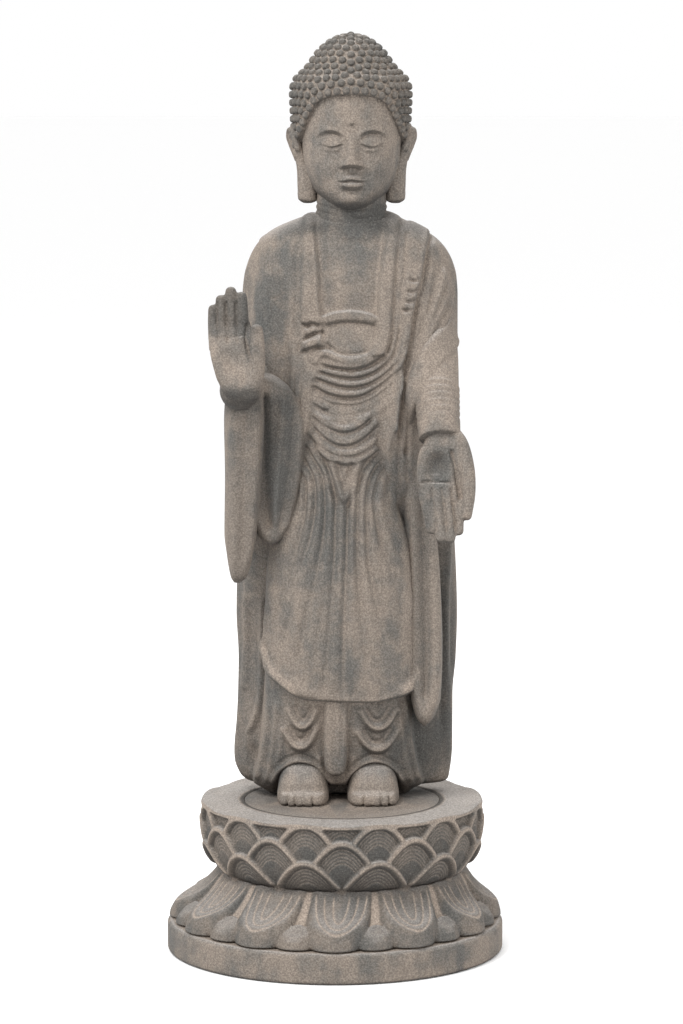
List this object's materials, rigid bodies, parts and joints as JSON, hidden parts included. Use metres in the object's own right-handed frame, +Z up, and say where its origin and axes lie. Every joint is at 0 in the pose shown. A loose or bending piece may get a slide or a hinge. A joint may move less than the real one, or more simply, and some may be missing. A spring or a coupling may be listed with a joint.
{
  "type": "standing buddha statue",
  "caption": "Carved stone standing Buddha, one hand raised and one lowered, in a draped robe on a round double-lotus pedestal.",
  "frame": {"origin": "centre of the pedestal's flat underside", "axes": "+Z up; the figure's face looks along -Y; +X is the figure's left, the viewer's right"},
  "size_m": [0.442, 0.442, 1.2],
  "materials": {
    "figure_stone": "matt pitted volcanic stone, brown-grey with pale dust in the folds",
    "pedestal_stone": "matt pitted volcanic stone, grey with pale dust in the carving"
  },
  "bodies": {
    "root": {"figure": "figure_stone", "lotus_pedestal": "pedestal_stone"}
  },
  "joints": []
}
